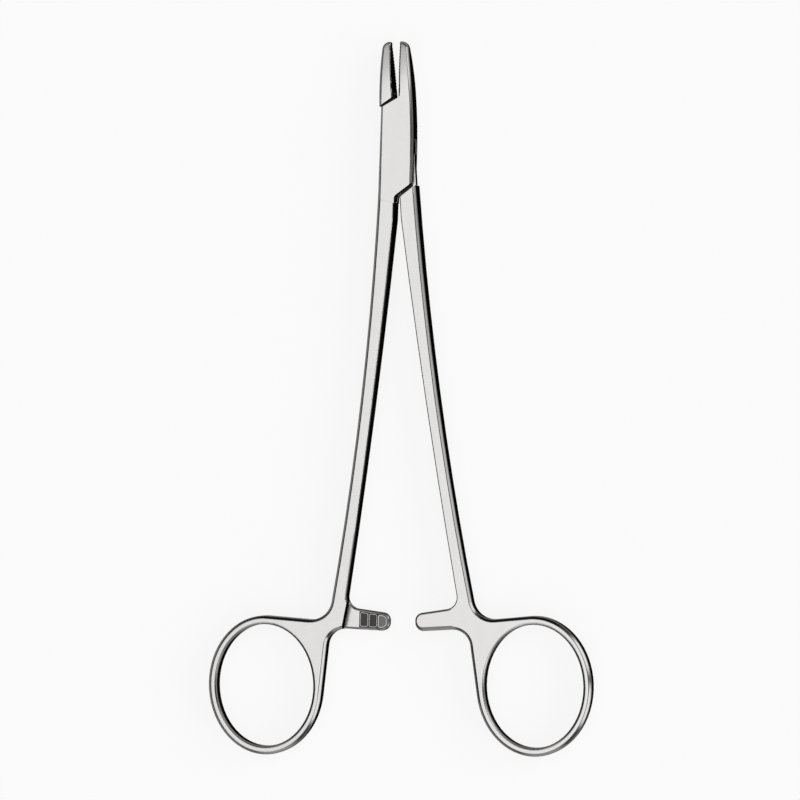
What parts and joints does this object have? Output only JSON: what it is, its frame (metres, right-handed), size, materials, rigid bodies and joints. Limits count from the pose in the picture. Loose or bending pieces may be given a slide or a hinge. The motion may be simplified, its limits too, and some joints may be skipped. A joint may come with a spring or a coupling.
{
  "type": "surgical needle holder",
  "caption": "Slim locking forceps for gripping suture needles, with short serrated jaws, a box-lock pivot, long shanks, a stepped ratchet catch and oval finger rings.",
  "frame": {"origin": "on the pivot axis, at the back face of the box, which is the face that it lies on", "axes": "+X to the right ring, +Y towards the jaw tips, +Z out of the front face, along the pivot axis"},
  "size_m": [0.099, 0.18, 0.0062],
  "materials": {
    "satin_steel": "satin ground and polished stainless steel",
    "pin_steel": "ground flush with the box"
  },
  "bodies": {
    "box_half": {"box_branch": "satin_steel", "pivot_pin": "pin_steel"},
    "inner_half": {"inner_branch": "satin_steel"}
  },
  "joints": [
    {"name": "box_lock", "type": "hinge", "parent": "box_half", "child": "inner_half", "pos_m": [0, 0, 0.0031], "axis": [0, 0, 1], "range_deg": [-5, 37]}
  ]
}
